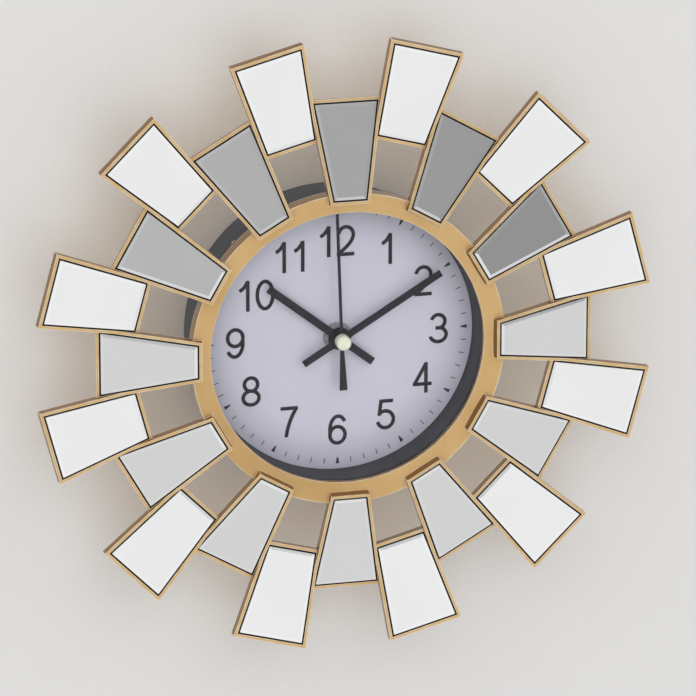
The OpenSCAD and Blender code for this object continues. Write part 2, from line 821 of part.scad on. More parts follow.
module positive_contact() {
    foot_left = board_right - strip_foot;
    color("#c8c8c2") {
        block(
            [battery_right, battery_y - contact_w / 2, battery_h - contact_w / 2],
            [inner_half_w, battery_y + contact_w / 2, battery_h + contact_w / 2]
        );
        block([battery_right, battery_y, strip_h], [inner_half_w, inner_top, strip_h + strip_w]);
        block(
            [foot_left, inner_top - contact_t, strip_h],
            [inner_half_w, inner_top, strip_h + strip_w]
        );
        block([foot_left, inner_top - contact_t, board_front_h], [board_right, inner_top, strip_h + strip_w]);
        block([foot_left, board_top - strip_w, board_front_h], [board_right, inner_top, strip_h]);
    }
}

module negative_contact() {
    left = -inner_half_w;
    mid = left + contact_t;
    half = contact_w / 2;
    color("#c8c8c2") {
        block([left, battery_y - half, battery_h - half], [mid, battery_y + half, battery_h + half]);
        slab(battery_h - half, battery_h + half) translate([mid, battery_y]) polygon([
            [0, half],
            [leaf_bow, half / 3],
            [leaf_bow, -half / 3],
            [0, -half],
            [0, contact_t - half],
            [leaf_bow - contact_t, -half / 3],
            [leaf_bow - contact_t, half / 3],
            [0, half - contact_t]
        ]);
        block([left, battery_y, strip_h], [mid, coil_y, strip_h + strip_w]);
        block([left, coil_y - strip_w, board_front_h], [board_left + strip_foot / 2, coil_y, strip_h]);
    }
}

module circuit_board() {
    color("#2f6b46") {
        block([board_left, board_bottom, stator_h], [board_right, board_top, board_front_h]);
        translate([(board_left + board_right) / 2, coil_y, 0]) {
            disc(chip_r, board_front_h, board_front_h + chip_h);
        }
    }
}

module quartz_crystal() {
    place = [board_left + crystal_r, board_top - 2 * crystal_r, board_front_h + crystal_r];
    color("#cfcfcb") translate(place) rotate([0, 90, 0]) cylinder(r = crystal_r, h = crystal_len);
}

// Step motor

module stator() {
    low = rotor_at[1] - core_w / 2;
    leg_top = coil_y + core_w / 2;
    color("#8d8f92") slab(stator_h, core_h) difference() {
        union() {
            translate(rotor_at) circle(stator_hole_r + stator_ring_w);
            translate([stator_left, low]) square([stator_right - stator_left, core_w]);
            translate([stator_left, low]) square([stator_leg_w, leg_top - low]);
            translate([stator_right - stator_leg_w, low]) square([stator_leg_w, leg_top - low]);
        }
        translate(rotor_at) circle(stator_hole_r);
    }
}

module coil_core() {
    half = core_w / 2;
    color("#8d8f92") block([stator_left, coil_y - half, core_h], [stator_right, coil_y + half, core_front_h]);
}

// A rectangular sleeve along the core, from x0 to x1, between two distances from the core's surface
module sleeve(x0, x1, inside, outside) {
    half = core_w / 2;
    difference() {
        block(
            [x0, coil_y - half - outside, core_h - outside],
            [x1, coil_y + half + outside, core_front_h + outside]
        );
        block(
            [x0 - cut, coil_y - half - inside, core_h - inside],
            [x1 + cut, coil_y + half + inside, core_front_h + inside]
        );
    }
}

bobbin_left = stator_left + stator_leg_w + axial_gap;
bobbin_right = stator_right - stator_leg_w - axial_gap;
bobbin_tube = screw_fit + bobbin_wall;

module coil_bobbin() {
    color("#e4ddc8") {
        sleeve(bobbin_left, bobbin_right, screw_fit, bobbin_tube);
        for (x = [bobbin_left, bobbin_right - bobbin_flange_t]) {
            sleeve(x, x + bobbin_flange_t, screw_fit, bobbin_tube + bobbin_flange);
        }
    }
}

module coil_winding() {
    color("#b4552d") sleeve(
        bobbin_left + bobbin_flange_t, bobbin_right - bobbin_flange_t,
        bobbin_tube, bobbin_tube + bobbin_flange - winding_inset
    );
}

// Wheels and pinions

module spur(teeth, modul, phase, h0, h1) {
    pitch_r = teeth * modul / 2;
    root_r = pitch_r - tooth_dedendum * modul;
    top_r = tip_r(teeth, modul);
    corners = [[-tooth_root, root_r], [-tooth_tip, top_r], [tooth_tip, top_r], [tooth_root, root_r]];
    slab(h0, h1) polygon([
        for (i = [0:teeth - 1]) for (c = corners) along(phase + (i + c[0] / 2) * 360 / teeth, c[1])
    ]);
}

module rotor() {
    magnet_base = stator_h + iron_t / 2 - magnet_h / 2;
    pinion_h = third_wheel_h - pinion_over;
    color("#5b5b60") at(rotor_at) {
        disc(magnet_r, magnet_base, magnet_base + magnet_h);
        disc(arbor_r, arbor_rear_h, rotor_boss_h + pivot_len);
        spur(rotor_leaves, train_module, rotor_dir + 180, pinion_h, second_pinion_front_h);
    }
}

module intermediate_wheel() {
    phase = rotor_dir + 180 / inter_teeth;
    color("#e8e6df") at(inter_at) difference() {
        union() {
            spur(inter_teeth, train_module, phase, third_wheel_h, third_wheel_h + wheel_t);
            spur(inter_leaves, train_module, inter_dir + 180, second_wheel_h - pinion_over, third_wheel_h);
        }
        disc(arbor_r + running_fit, second_wheel_h - cut, third_wheel_h + wheel_t + cut);
    }
}

module second_wheel() {
    color("#e8e6df") {
        phase = inter_dir + 180 / second_teeth;
        spur(second_teeth, train_module, phase, second_wheel_h, second_wheel_h + wheel_t);
        spur(second_leaves, train_module, third_dir, second_wheel_h + wheel_t, second_pinion_front_h);
        disc(arbor_r, arbor_rear_h, second_arbor_top_h);
    }
}

module third_wheel() {
    color("#e8e6df") at(third_at) {
        phase = third_dir + 180 + 180 / third_teeth;
        spur(third_teeth, train_module, phase, third_wheel_h, third_wheel_h + wheel_t);
        spur(third_leaves, center_module, third_dir + 180, third_wheel_h + wheel_t, third_pinion_front_h);
        disc(arbor_r, arbor_rear_h, third_boss_h + pivot_len);
    }
}

module center_wheel() {
    color("#e8e6df") difference() {
        spur(center_teeth, center_module, third_dir + 180 / center_teeth, center_wheel_h, cannon_h);
        disc(minute_arbor_r + push_fit, center_wheel_h - cut, cannon_h + cut);
    }
}

module minute_arbor() {
    color("#c9a15a") difference() {
        union() {
            disc(minute_arbor_r, minute_arbor_h, minute_arbor_top_h);
            spur(cannon_leaves, motion_module, work_dir, cannon_h, cannon_h + cannon_t);
        }
        disc(minute_bore_r, minute_arbor_h - cut, minute_arbor_top_h + cut);
    }
}

work_wheel_phase = work_dir + 180 + 180 / work_teeth;

module minute_work_wheel() {
    color("#e8e6df") at(work_at) difference() {
        union() {
            spur(work_teeth, motion_module, work_wheel_phase, work_wheel_h, work_wheel_h + wheel_t);
            spur(work_leaves, hour_module, work_dir + 180, work_wheel_h + wheel_t, work_pinion_front_h);
        }
        disc(work_stud_r + running_fit, work_wheel_h - cut, work_pinion_front_h + cut);
    }
}

module hour_wheel() {
    color("#e8e6df") difference() {
        union() {
            spur(hour_teeth, hour_module, work_dir + 180 / hour_teeth, hour_wheel_h, hour_wheel_h + wheel_t);
            disc(hour_pipe_r, hour_wheel_h, hour_pipe_top_h);
        }
        disc(hour_bore_r, hour_wheel_h - cut, hour_pipe_top_h + cut);
    }
}

module setting_knob() {
    knob_front_h = cover_rear_h - axial_gap;
    knob_rear_h = knob_front_h - knob_t;
    notch_r = knob_r / knob_notches;
    pinion_h = work_wheel_h - pinion_over;
    turns = (work_wheel_phase - knob_dir) * work_teeth / knob_leaves;
    phase = knob_dir + 180 - turns + 180 / knob_leaves;
    color("#d9d6cc") at(knob_at) {
        difference() {
            disc(knob_r, knob_rear_h, knob_front_h);
            for (i = [0:knob_notches - 1]) rotate(i * 360 / knob_notches) {
                translate([knob_r, 0, 0]) disc(notch_r, knob_rear_h - cut, knob_front_h + cut);
            }
        }
        disc(knob_shaft_r, knob_rear_h, knob_top_h);
        spur(knob_leaves, motion_module, phase, pinion_h, pinion_h + wheel_t + 2 * pinion_over);
    }
}

// Hands

module baton(tip_gap, tail, w) {
    translate([-w / 2, -tail]) square([w, dial_r - tip_gap + tail]);
}

module hour_hand() {
    color("#2f2e35") rotate(-hour_angle) difference() {
        slab(hour_hand_h, hour_hand_h + hand_t) union() {
            baton(hour_tip_gap, hour_tail, hour_hand_w);
            circle(hour_hub_r);
        }
        disc(hour_pipe_r + push_fit, hour_hand_h - cut, hour_hand_h + hand_t + cut);
    }
}

module minute_hand() {
    color("#2f2e35") rotate(-minute_angle) difference() {
        slab(minute_hand_h, minute_hand_h + hand_t) union() {
            baton(minute_tip_gap, minute_tail, minute_hand_w);
            circle(minute_hub_r);
        }
        disc(minute_arbor_r + push_fit, minute_hand_h - cut, minute_hand_h + hand_t + cut);
    }
}

module second_hand() {
    half = second_hand_w / 2;
    tail_half = second_tail_w / 2;
    tip = dial_r - second_tip_gap;
    color("#2f2e35") rotate(-second_angle) difference() {
        slab(second_hand_h, cap_base_h) union() {
            polygon([
                [-half, tip], [-half, 0], [-tail_half, -second_tail],
                [tail_half, -second_tail], [half, 0], [half, tip]
            ]);
            circle(second_hub_r);
        }
        disc(arbor_r + push_fit, second_hand_h - cut, cap_base_h + cut);
    }
}

module second_hand_cap() {
    top_h = cap_base_h + cap_h;
    color("#d8dcc4") difference() {
        turned([
            [0, cap_base_h],
            [cap_r, cap_base_h],
            [cap_r, top_h - cap_chamfer],
            [cap_r - cap_chamfer, top_h],
            [0, top_h]
        ]);
        disc(arbor_r + push_fit, cap_base_h - cut, second_arbor_top_h + axial_gap / 2);
    }
}

at_dial() sunburst_frame();
for (i = [0:row_count - 1]) {
    at_dial() inner_mirror(i);
    at_dial() outer_mirror(i);
}
at_dial() dial_housing();
at_dial() lens();
at_dial() dial();
at_dial() frame_screws();
at_dial() hanger_plate();
at_dial() hanger_screws();
at_dial() movement_front_case();
at_dial() movement_rear_cover();
at_dial() movement_nut();
at_dial() nut_washer();
at_dial() dial_gasket();
at_dial() battery();
at_dial() positive_contact();
at_dial() negative_contact();
at_dial() circuit_board();
at_dial() quartz_crystal();
at_dial() coil_bobbin();
at_dial() coil_winding();
at_dial() coil_core();
at_dial() stator();
at_dial() rotor();
at_dial() intermediate_wheel();
at_dial() second_wheel();
at_dial() third_wheel();
at_dial() center_wheel();
at_dial() minute_arbor();
at_dial() minute_work_wheel();
at_dial() hour_wheel();
at_dial() setting_knob();
at_dial() hour_hand();
at_dial() minute_hand();
at_dial() second_hand();
at_dial() second_hand_cap();
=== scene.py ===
# %% [markdown]
# A sunburst mirror clock, dressed in Blender.
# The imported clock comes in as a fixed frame: every piece has its true size and place already.
# This lesson gives each piece its finish, eases the edges that light would catch, and prints the dial.
# Lengths are in metres, as Blender has them, and MM turns a maker's millimetres into metres.

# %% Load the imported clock
import math

import bmesh
import bpy
from mathutils import Matrix, Vector


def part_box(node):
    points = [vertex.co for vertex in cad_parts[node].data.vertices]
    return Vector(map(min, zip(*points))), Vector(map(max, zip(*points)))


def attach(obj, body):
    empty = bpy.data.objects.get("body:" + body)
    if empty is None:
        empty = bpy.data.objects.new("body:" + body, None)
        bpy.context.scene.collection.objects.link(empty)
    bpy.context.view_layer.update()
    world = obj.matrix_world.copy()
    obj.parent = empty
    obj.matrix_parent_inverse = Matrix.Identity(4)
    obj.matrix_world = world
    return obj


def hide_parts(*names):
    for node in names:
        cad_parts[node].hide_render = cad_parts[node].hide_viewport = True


MM = 0.001
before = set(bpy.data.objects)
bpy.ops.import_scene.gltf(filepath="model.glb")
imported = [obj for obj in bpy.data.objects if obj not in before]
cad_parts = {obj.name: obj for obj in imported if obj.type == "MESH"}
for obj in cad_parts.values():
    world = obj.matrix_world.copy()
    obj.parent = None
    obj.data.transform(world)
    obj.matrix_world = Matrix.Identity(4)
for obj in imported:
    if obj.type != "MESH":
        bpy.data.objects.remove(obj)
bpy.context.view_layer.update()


# %% [markdown]
# The dial is drawn flat, as on paper: x to the right, y up, and z out of the page towards the viewer.
# The hanging clock faces along minus Y, and its dial centre lies below the nail that holds it.
# One matrix carries a drawing from the paper to the wall, so each printed mark is drawn the easy way.

# %% Find the dial axis
dial_low, dial_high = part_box("dial")
axis_height = (dial_low.z + dial_high.z) / 2
dial_front = -dial_low.y
stood_up = Matrix.Rotation(math.radians(90), 4, "X")
on_wall = Matrix.Translation((0, 0, axis_height)) @ stood_up
print("dial axis at z", round(axis_height / MM, 2), "mm,", round(dial_front / MM, 2), "mm from wall to dial")

# %% [markdown]
# The photograph looks down on the clock from the left, from about 2.4 m away.
# The camera keeps that standpoint, because it decides how the drum and the trays overlap.
# The clock fills a third of the photograph, so a longer lens from the same spot fills this frame with it.
# The focus is counted in pixels of the photograph, and the sensor's width turns it into millimetres.

# %% Place the camera
turn = math.radians(-14.46)
rise = math.radians(17.27)
camera_away = 2.408
tray_front = 37.2 * MM
sensor_wide = 36
photo_wide = 696
photo_focus = 2013
enlarged = 3.05
standpoint = Vector((math.sin(turn) * math.cos(rise), -math.cos(turn) * math.cos(rise), math.sin(rise)))
target = Vector((0, -tray_front, axis_height))
camera = bpy.data.objects.new("camera", bpy.data.cameras.new("camera"))
camera.location = target + standpoint * camera_away
camera.rotation_euler = (-standpoint).to_track_quat("-Z", "Y").to_euler()
camera.data.lens = sensor_wide * photo_focus * enlarged / photo_wide
camera.data.clip_start = 0.05
bpy.context.collection.objects.link(camera)
bpy.context.scene.camera = camera
print("lens", round(camera.data.lens, 1), "mm, camera at", [round(v, 3) for v in camera.location])

# %% [markdown]
# Node trees are easier to read when each node is one line.
# put adds a node, sets what it is, and joins or sets its inputs; a socket is joined and a value is set.
# number and vector work out values, and spread carries one span of values on to another.
# mixed lays one colour over another through a mask, and screen turns a colour seen on screen into light.

# %% Helpers for node trees
def put(tree, kind, inputs=None, **settings):
    node = tree.nodes.new(kind)
    for name, value in settings.items():
        setattr(node, name, value)
    for socket, value in (inputs or {}).items():
        if isinstance(value, bpy.types.NodeSocket):
            tree.links.new(value, node.inputs[socket])
        else:
            node.inputs[socket].default_value = value
    return node


def number(tree, operation, *values):
    return put(tree, "ShaderNodeMath", dict(enumerate(values)), operation=operation).outputs[0]


def vector(tree, operation, *values):
    return put(tree, "ShaderNodeVectorMath", dict(enumerate(values)), operation=operation).outputs


def spread(tree, value, low, high, to_low=0.0, to_high=1.0, **settings):
    limits = {"Value": value, "From Min": low, "From Max": high, "To Min": to_low, "To Max": to_high}
    return put(tree, "ShaderNodeMapRange", limits, **settings).outputs["Result"]


def mixed(tree, mask, under, over):
    return put(tree, "ShaderNodeMix", {0: mask, 6: under, 7: over}, data_type="RGBA").outputs[2]


def screen(red, green, blue):
    parts = [value / 255 for value in (red, green, blue)]
    return [v / 12.92 if v <= 0.04045 else ((v + 0.055) / 1.055) ** 2.4 for v in parts] + [1.0]


def place_in(tree):
    return put(tree, "ShaderNodeTexCoord").outputs["Object"]


def principled(material):
    return material.node_tree.nodes["Principled BSDF"]


def shader_group(name, inputs, outputs):
    tree = bpy.data.node_groups.new(name, "ShaderNodeTree")
    for label, kind in inputs:
        tree.interface.new_socket(label, in_out="INPUT", socket_type=kind)
    for label in outputs:
        tree.interface.new_socket(label, in_out="OUTPUT", socket_type="NodeSocketFloat")
    return tree, put(tree, "NodeGroupInput").outputs, put(tree, "NodeGroupOutput")


print("gold written as", [round(v, 3) for v in screen(210, 170, 118)])

# %% [markdown]
# No made surface is one even colour: paint has grain, plastic has flow marks, sheet metal has rolling lines.
# They could be painted as pictures, but noise measured in metres needs no picture and never repeats.
# One group gives a fine grain and a slow mottle, and each finish sets its own sizes and stretch.

# %% Surface grain
surface_grain, given, result = shader_group(
    "surface_grain",
    [("Grain Size", "NodeSocketFloat"), ("Mottle Size", "NodeSocketFloat"), ("Stretch", "NodeSocketVector")],
    ["Grain", "Mottle"],
)
drawn = vector(surface_grain, "DIVIDE", place_in(surface_grain), given["Stretch"])[0]
for label, detail in (("Grain", 2.0), ("Mottle", 4.0)):
    scale = number(surface_grain, "DIVIDE", 1.0, given[label + " Size"])
    noise = put(surface_grain, "ShaderNodeTexNoise", {"Vector": drawn, "Scale": scale, "Detail": detail})
    surface_grain.links.new(spread(surface_grain, noise.outputs[0], 0.3, 0.7), result.inputs[label])
print("group", surface_grain.name, len(surface_grain.nodes), "nodes")

# %% [markdown]
# Corners lose their paint or shine first, where fingers and cloths rub them.
# The Bevel node gives the normal of a rounder shape, and an edge is where that differs from the real one.
# A noise breaks the line up, because wear is never even, and each finish mixes in its own bare tone. On the
# gold frame that tone is a pale cream, a painted highlight along the edges as well as wear.

# %% Rubbed edges and painted edge highlight
worn_edges_and_sheen, given, result = shader_group(
    "worn_edges_and_sheen",
    [("Edge Width", "NodeSocketFloat"), ("Patch Size", "NodeSocketFloat")],
    ["Rub"],
)
rounder = put(worn_edges_and_sheen, "ShaderNodeBevel", {"Radius": given["Edge Width"]}, samples=6).outputs[0]
actual = put(worn_edges_and_sheen, "ShaderNodeNewGeometry").outputs["Normal"]
facing = vector(worn_edges_and_sheen, "DOT_PRODUCT", rounder, actual)["Value"]
edge = spread(worn_edges_and_sheen, facing, 0.995, 0.88)
scale = number(worn_edges_and_sheen, "DIVIDE", 1.0, given["Patch Size"])
patches = {"Vector": place_in(worn_edges_and_sheen), "Scale": scale, "Detail": 5.0}
noise = put(worn_edges_and_sheen, "ShaderNodeTexNoise", patches).outputs[0]
patch = spread(worn_edges_and_sheen, noise, 0.36, 0.62, 0.3, 1.0)
worn_edges_and_sheen.links.new(number(worn_edges_and_sheen, "MULTIPLY", edge, patch), result.inputs["Rub"])
print("group", worn_edges_and_sheen.name, len(worn_edges_and_sheen.nodes), "nodes")

# %% [markdown]
# Most finishes here are made alike: two close tones, a span of roughness, a little relief and worn edges.
# A maker function keeps them alike in build and different in values, so that a finish reads as one line.
# A painted wall shade is a second, darker tone, painted shade on walls which face neither the viewer nor the
# back.
# The edge tone is that of a worn edge, and on the gold also a painted highlight, followed by the width of that
# edge in millimetres.
# Numbers that are the same all over the surface go straight on to the shader's own sockets.

# %% A maker of finishes
finishes = {}
grain_share = 0.4
mottle_share = 0.6
wear_patch = 6 * MM


def finish(name, dark, light, rough, grain=0.4, mottle=14, stretch=(1, 1, 1), relief=0.0,
           painted_wall_shade=None, edge_wear_and_sheen=None, **sockets):
    material = bpy.data.materials.new(name + "_finish")
    material.use_nodes = True
    tree = material.node_tree
    shader = principled(material)
    sizes = {"Grain Size": grain * MM, "Mottle Size": mottle * MM, "Stretch": stretch}
    pattern = put(tree, "ShaderNodeGroup", sizes, node_tree=surface_grain).outputs
    slow = number(tree, "MULTIPLY", pattern["Mottle"], mottle_share)
    blend = number(tree, "MULTIPLY_ADD", pattern["Grain"], grain_share, slow)
    colour = mixed(tree, blend, screen(*dark), screen(*light))
    polish = spread(tree, blend, 0.0, 1.0, *rough)
    # Painted shade: walls that face sideways take the second, darker tone.
    if painted_wall_shade:
        facing = put(tree, "ShaderNodeTexCoord").outputs["Normal"]
        frontal = number(tree, "ABSOLUTE", put(tree, "ShaderNodeSeparateXYZ", {0: facing}).outputs["Y"])
        colour = mixed(tree, spread(tree, frontal, 0.65, 0.4, 0.0, 0.9), colour, screen(*painted_wall_shade))
    # Edge tone: worn edges, and on the gold frame a painted highlight as well.
    if edge_wear_and_sheen:
        edges = {"Edge Width": edge_wear_and_sheen[3] * MM, "Patch Size": wear_patch}
        edge_tone = put(tree, "ShaderNodeGroup", edges, node_tree=worn_edges_and_sheen).outputs["Rub"]
        colour = mixed(tree, edge_tone, colour, screen(*edge_wear_and_sheen[:3]))
    tree.links.new(colour, shader.inputs["Base Color"])
    tree.links.new(polish, shader.inputs["Roughness"])
    if relief:
        lifts = {"Height": pattern["Grain"], "Strength": 0.5, "Distance": relief * MM}
        tree.links.new(put(tree, "ShaderNodeBump", lifts).outputs[0], shader.inputs["Normal"])
    for label, value in sockets.items():
        shader.inputs[label.replace("_", " ")].default_value = value
    finishes[name] = material
    return material


print("finish maker ready")

# %% [markdown]
# The frame is moulded plastic under satin gold paint, warm and even, and lighter at its edges, where wear and
# a painted highlight both show.
# A pure metal shader would mirror the room too sharply, so the paint keeps a broad, soft highlight.
# The flakes in the paint are the fine grain, and a slow mottle keeps the large faces from looking flat.
# Its side walls carry a painted shade of brown, so each tray is drawn with a darker line.

# %% Gold paint
gilt_frame = finish(
    "gilt_frame", (216, 175, 115), (232, 195, 136), (0.34, 0.46), grain=0.25, mottle=16, relief=0.012,
    painted_wall_shade=(126, 90, 50), edge_wear_and_sheen=(253, 244, 222, 0.8), Metallic=0.6,
)
print("finish", gilt_frame.name)

# %% [markdown]
# Behind the ring are the dark parts: the drum of grey moulded plastic, the black movement case, its rubber.
# Moulded plastic has a fine spark-eroded texture, which dulls its shine and catches a little light.
# Each gets its own grain and relief, because a drum is coarser than the case of a movement.

# %% Dark plastics and rubber
finish("drum_plastic", (62, 62, 66), (78, 78, 83), (0.6, 0.75), grain=0.35, relief=0.03,
       edge_wear_and_sheen=(96, 96, 101, 0.4), Specular_IOR_Level=0.2)
finish("case_plastic", (24, 24, 26), (36, 36, 39), (0.45, 0.62), grain=0.28, relief=0.03,
       edge_wear_and_sheen=(66, 66, 70, 0.3))
finish("gasket_rubber", (16, 16, 17), (30, 30, 31), (0.75, 0.92), grain=0.5, mottle=5, relief=0.02)
finish("hand_enamel", (24, 24, 30), (34, 34, 41), (0.42, 0.56), grain=0.2, mottle=6, relief=0.004,
       edge_wear_and_sheen=(60, 60, 68, 0.12), Specular_IOR_Level=0.3)
finish("rotor_magnet", (66, 66, 70), (92, 92, 98), (0.5, 0.7), grain=0.15, mottle=2, relief=0.01,
       Metallic=0.7)
print("finishes", len(finishes))

# %% [markdown]
# Pale plastics: the cream cap on the second hand, the white knob, the train's wheels and the coil's bobbin.
# Unpigmented plastic lets some light in, so its shadows are soft; a little subsurface weight shows that.
# The cap is glossier than the rest, as in the photograph, where it is the brightest point of the dial.

# %% Pale plastics
finish("hand_cap", (219, 221, 196), (234, 235, 214), (0.18, 0.28), grain=0.3, mottle=3, relief=0.003,
       Coat_Weight=0.4)
finish("knob_plastic", (212, 209, 200), (226, 223, 214), (0.35, 0.5), grain=0.3, mottle=5, relief=0.012,
       edge_wear_and_sheen=(238, 236, 228, 0.25))
finish("wheel_plastic", (224, 221, 210), (238, 235, 226), (0.32, 0.48), grain=0.3, mottle=4, relief=0.006)
finish("bobbin_plastic", (222, 214, 188), (234, 227, 204), (0.35, 0.5), grain=0.3, mottle=4, relief=0.006)
for label in ("knob_plastic", "wheel_plastic", "bobbin_plastic"):
    pale_sockets = principled(finishes[label]).inputs
    pale_sockets["Subsurface Weight"].default_value = 0.15
    pale_sockets["Subsurface Scale"].default_value = 0.6 * MM
print("finishes", len(finishes))

# %% [markdown]
# Metals: zinc-plated steel sheet and screws, iron motor parts, turned brass, satin nickel and a plated can.
# Rolled sheet shows long fine lines, so its grain is stretched; turned brass has a finer, rounder grain.
# The steel keeps a slow mottle, because zinc plating has patches that are a little duller.
# The screws are yellow zinc, which sets them off from the blue-white plate that they hold.

# %% Metals
finish("zinc_steel", (176, 176, 170), (206, 206, 202), (0.24, 0.40), grain=0.12, mottle=3, stretch=(14, 1, 1),
       relief=0.004, edge_wear_and_sheen=(228, 228, 226, 0.2), Metallic=1.0)
screw_steel = finish("screw_steel", (176, 160, 116), (204, 190, 148), (0.28, 0.42), grain=0.12, mottle=2,
                     relief=0.004, edge_wear_and_sheen=(222, 212, 180, 0.15), Metallic=1.0)
finish("motor_iron", (138, 140, 143), (166, 168, 171), (0.32, 0.48), grain=0.12, mottle=3, stretch=(10, 1, 1),
       relief=0.004, Metallic=1.0)
finish("brass", (202, 164, 96), (222, 188, 122), (0.2, 0.34), grain=0.08, mottle=2, stretch=(6, 1, 6),
       relief=0.003, Metallic=1.0)
finish("nickel_plate", (158, 156, 162), (176, 174, 180), (0.36, 0.5), grain=0.12, mottle=2, relief=0.003,
       edge_wear_and_sheen=(190, 188, 192, 0.12), Metallic=0.6)
finish("crystal_can", (206, 206, 206), (226, 226, 226), (0.14, 0.24), grain=0.1, mottle=2, stretch=(8, 1, 1),
       relief=0.002, Metallic=1.0)
print("finishes", len(finishes))

# %% [markdown]
# Each tile is silvered glass: flat in the middle, with a ground and polished slope round its edge.
# A real pane has glass in front and silver behind, but a polished metal face gives the same reflection
# without the cost of light passing twice through glass. Faint wipe marks make parts of it a little softer.

# %% Wipe marks
wipe_marks, given, result = shader_group("wipe_marks", [("Mark Size", "NodeSocketFloat")], ["Marks"])
strokes = {"Vector": place_in(wipe_marks), "Rotation": (0.0, 0.6, 0.0), "Scale": (1.0, 1.0, 3.5)}
turned = put(wipe_marks, "ShaderNodeMapping", strokes).outputs[0]
scale = number(wipe_marks, "DIVIDE", 1.0, given["Mark Size"])
noise = put(wipe_marks, "ShaderNodeTexNoise", {"Vector": turned, "Scale": scale, "Detail": 6.0}).outputs[0]
wipe_marks.links.new(spread(wipe_marks, noise, 0.46, 0.74), result.inputs["Marks"])


def wiped(material, rough, mark_size):
    tree = material.node_tree
    marks = put(tree, "ShaderNodeGroup", {"Mark Size": mark_size * MM}, node_tree=wipe_marks).outputs["Marks"]
    tree.links.new(spread(tree, marks, 0.0, 1.0, *rough), principled(material).inputs["Roughness"])


def silvered(name, dark, light, rough, mark_size):
    material = finish(name, dark, light, rough, grain=0.2, mottle=30, Metallic=1.0)
    wiped(material, rough, mark_size)
    return material


mirror_face = silvered("mirror_face", (238, 239, 239), (244, 244, 244), (0.015, 0.09), 24)
mirror_slope = silvered("mirror_slope", (244, 245, 245), (250, 250, 250), (0.03, 0.08), 12)
mirror_edge = finish("mirror_edge", (120, 142, 134), (152, 172, 164), (0.18, 0.34), grain=0.15, mottle=3,
                     relief=0.01)
mirror_back = finish("mirror_back", (96, 98, 102), (116, 118, 122), (0.6, 0.8), grain=0.4, mottle=8,
                     relief=0.02)
tile_finishes = (mirror_face, mirror_slope, mirror_edge, mirror_back)
print("mirror finishes", [material.name for material in tile_finishes])

# %% [markdown]
# The lens is a clear moulded disc that keeps dust off the hands. It lays a pale veil over the dark parts.
# Glass that blocks lamp light would blacken the dial, so shadow rays pass straight through it.
# The wipe marks reach only its roughness, because the rest of a clean lens is the same all over.

# %% Clear lens
lens_glass = bpy.data.materials.new("lens_glass_finish")
lens_glass.use_nodes = True
lens_tree = lens_glass.node_tree
lens_shader = principled(lens_glass)
lens_shader.inputs["Base Color"].default_value = (0.985, 0.99, 1.0, 1.0)
lens_shader.inputs["Transmission Weight"].default_value = 1.0
lens_shader.inputs["IOR"].default_value = 1.2
wiped(lens_glass, (0.0, 0.04), 30)


def let_through(tree, mask, tint):
    clear = put(tree, "ShaderNodeBsdfTransparent", {"Color": tint}).outputs[0]
    shaders = {0: mask, 1: tree.nodes["Principled BSDF"].outputs[0], 2: clear}
    surface = put(tree, "ShaderNodeMixShader", shaders).outputs[0]
    tree.links.new(surface, tree.nodes["Material Output"].inputs["Surface"])


lens_shadows = put(lens_tree, "ShaderNodeLightPath").outputs["Is Shadow Ray"]
let_through(lens_tree, lens_shadows, (0.97, 0.975, 0.985, 1.0))
finishes["lens_glass"] = lens_glass
print("lens index", round(lens_shader.inputs["IOR"].default_value, 2))

# %% [markdown]
# The dial is a thin card in a pale, cool grey, with a satin coat and a painted shade that deepens towards its
# rim, under the drum wall.
# The tone follows the distance from the dial's own centre, so the coordinates are moved there first.
# The ink is a near-black with a trace of violet, like the hands.

# %% Dial card and ink
def overlaid(material, mask, tone):
    tree = material.node_tree
    base = principled(material).inputs["Base Color"]
    tree.links.new(mixed(tree, mask, base.links[0].from_socket, screen(*tone)), base)


dial_face = finish("dial_face", (196, 194, 206), (201, 199, 211), (0.42, 0.52), grain=0.3, mottle=12,
                   relief=0.004)
dial_tree = dial_face.node_tree
rim_shade_start = 40 * MM
rim_shade_end = 56 * MM
from_axis = vector(dial_tree, "SUBTRACT", place_in(dial_tree), (0, 0, axis_height))[0]
across = vector(dial_tree, "MULTIPLY", from_axis, (1, 0, 1))[0]
reach = vector(dial_tree, "LENGTH", across)["Value"]
# Painted shade: the card grows darker towards its rim.
overlaid(dial_face, spread(dial_tree, reach, rim_shade_start, rim_shade_end, 0.0, 0.75), (172, 170, 182))
dial_ink = finish("dial_ink", (22, 21, 28), (30, 29, 37), (0.55, 0.7), grain=0.15, mottle=4)
track_ink = finish("track_ink", (84, 82, 96), (98, 96, 110), (0.5, 0.62), grain=0.15, mottle=4)
print("dial finishes", dial_face.name, dial_ink.name, track_ink.name)

# %% [markdown]
# Inside the case: green board, copper winding and a plain battery, all real finishes though seldom seen.
# The winding is fine enamelled wire in turns along x, drawn as narrow bands that also lift its surface.
# The battery's jacket is a plain two-tone print with bare steel ends; it carries no words.

# %% Board, winding and battery
finish("board_laminate", (34, 88, 54), (50, 108, 68), (0.32, 0.46), grain=0.2, mottle=1.2, relief=0.008)
coil_wire = finish("coil_wire", (160, 74, 40), (196, 104, 62), (0.24, 0.36), grain=0.1, mottle=2,
                   Metallic=0.9)
wire_tree = coil_wire.node_tree
wire_bands = {"Vector": place_in(wire_tree), "Scale": 900.0}
turns = put(wire_tree, "ShaderNodeTexWave", wire_bands, bands_direction="X").outputs[1]
wire_bump = put(wire_tree, "ShaderNodeBump", {"Height": turns, "Strength": 0.8, "Distance": 0.05 * MM})
wire_tree.links.new(wire_bump.outputs[0], principled(coil_wire).inputs["Normal"])

